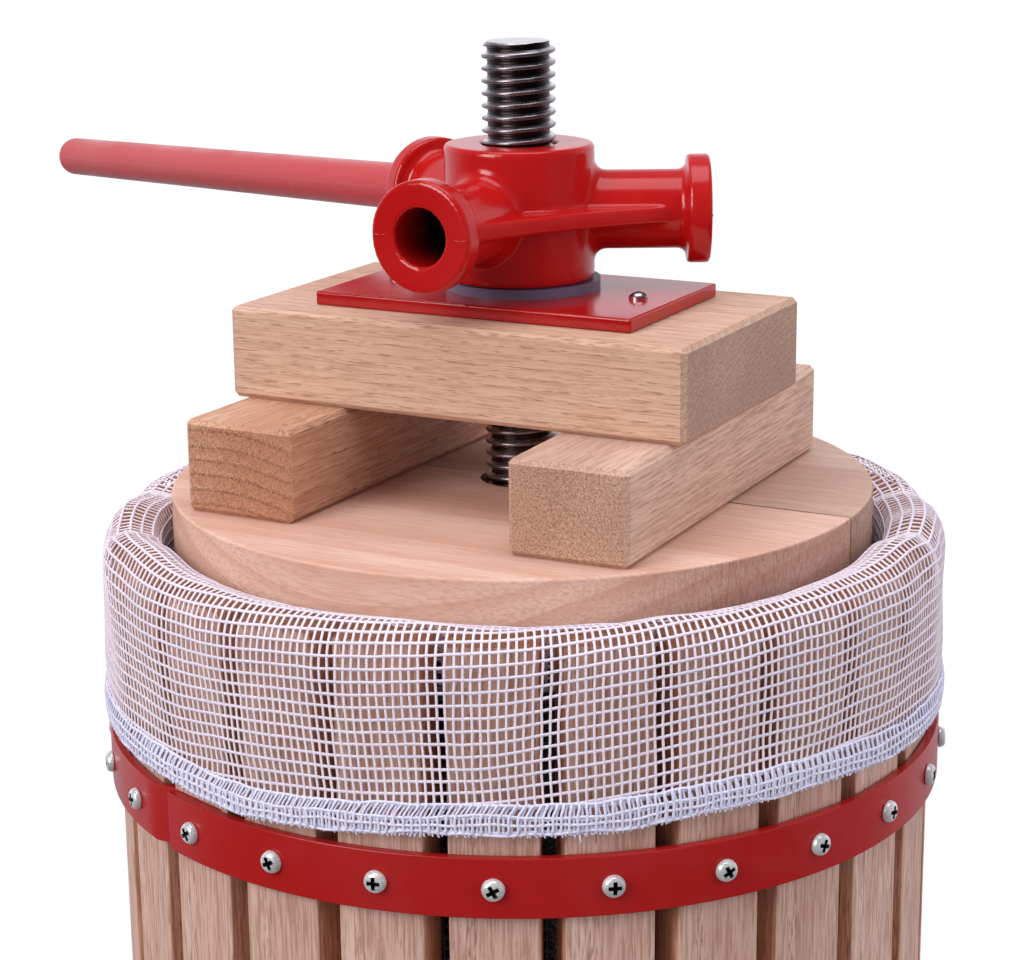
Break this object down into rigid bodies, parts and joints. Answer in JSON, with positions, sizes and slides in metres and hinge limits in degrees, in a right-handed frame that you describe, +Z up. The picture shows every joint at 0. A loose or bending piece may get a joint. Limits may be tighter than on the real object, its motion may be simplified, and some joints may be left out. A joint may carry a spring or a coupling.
{
  "type": "basket fruit press",
  "caption": "Hand-worked basket fruit press: stave basket with a straining bag in a juice tray on legs, and a press head driven down a fixed screw by a cast nut and a lever.",
  "frame": {"origin": "on the screw's axis at floor level, the centre of the feet's bolt circle", "axes": "+Z up along the screw, -Y towards the tray's spout"},
  "size_m": [0.4278, 0.6101, 0.7067],
  "materials": {
    "stave_wood": "sawn and sanded beech, long grain, bare",
    "disc_wood": "planed beech board, bare",
    "block_wood": "planed beech block with eased edges, bare",
    "red_band": "red paint on rolled strip, semi-gloss",
    "red_plate": "red paint on cut plate, gloss",
    "red_bar": "red paint on round bar, semi-gloss",
    "red_casting": "red paint on a casting, gloss",
    "red_enamel": "red paint on pressed sheet, gloss",
    "zinc_plate": "bright zinc plate",
    "dark_steel": "oiled dark steel thread, worn bright on its crests",
    "nylon": "natural nylon",
    "net_fabric": "white polyester leno net"
  },
  "bodies": {
    "base": {"juice_tray": "red_enamel", "base_spider": "red_casting", "leg_1": "red_casting", "leg_2": "red_casting", "leg_3": "red_casting", "leg_bolts": "zinc_plate", "press_screw": "dark_steel", "screw_nut_upper": "zinc_plate", "screw_nut_lower": "zinc_plate", "screw_washer_upper": "zinc_plate", "screw_washer_lower": "zinc_plate"},
    "basket": {"stave_01": "stave_wood", "stave_02": "stave_wood", "stave_03": "stave_wood", "stave_04": "stave_wood", "stave_05": "stave_wood", "stave_06": "stave_wood", "stave_07": "stave_wood", "stave_08": "stave_wood", "stave_09": "stave_wood", "stave_10": "stave_wood", "stave_11": "stave_wood", "stave_12": "stave_wood", "stave_13": "stave_wood", "stave_14": "stave_wood", "stave_15": "stave_wood", "stave_16": "stave_wood", "stave_17": "stave_wood", "stave_18": "stave_wood", "stave_19": "stave_wood", "stave_20": "stave_wood", "stave_21": "stave_wood", "stave_22": "stave_wood", "stave_23": "stave_wood", "stave_24": "stave_wood", "stave_25": "stave_wood", "hoop_upper": "red_band", "hoop_lower": "red_band", "hoop_screws_upper": "zinc_plate", "hoop_screws_lower": "zinc_plate", "straining_bag": "net_fabric"},
    "press_head": {"half_disc_front": "disc_wood", "half_disc_back": "disc_wood", "cross_block_left": "block_wood", "cross_block_right": "block_wood", "top_block": "block_wood", "head_plate": "red_plate", "plate_screws": "zinc_plate", "nylon_washer": "nylon"},
    "press_nut": {"press_nut": "red_casting"},
    "lever": {"lever_bar": "red_bar"}
  },
  "joints": [
    {"name": "basket_lift", "type": "slide", "parent": "base", "child": "basket", "axis": [0, 0, 1], "range_m": [0, 0.018]},
    {"name": "press_travel", "type": "slide", "parent": "base", "child": "press_head", "axis": [0, 0, 1], "range_m": [-0.0505, 0.0295]},
    {"name": "nut_turn", "type": "hinge", "parent": "press_head", "child": "press_nut", "pos_m": [0, 0, 0.6488], "axis": [0, 0, 1], "range_deg": [-4320, 2520]},
    {"name": "lever_slide", "type": "slide", "parent": "press_nut", "child": "lever", "axis": [-0.5135, 0.8546, -0.0767], "range_m": [0, 0.02]}
  ],
  "couplings": [
    {"joint": "press_travel", "follows": "nut_turn", "m_per_rad": 0.00066845}
  ]
}
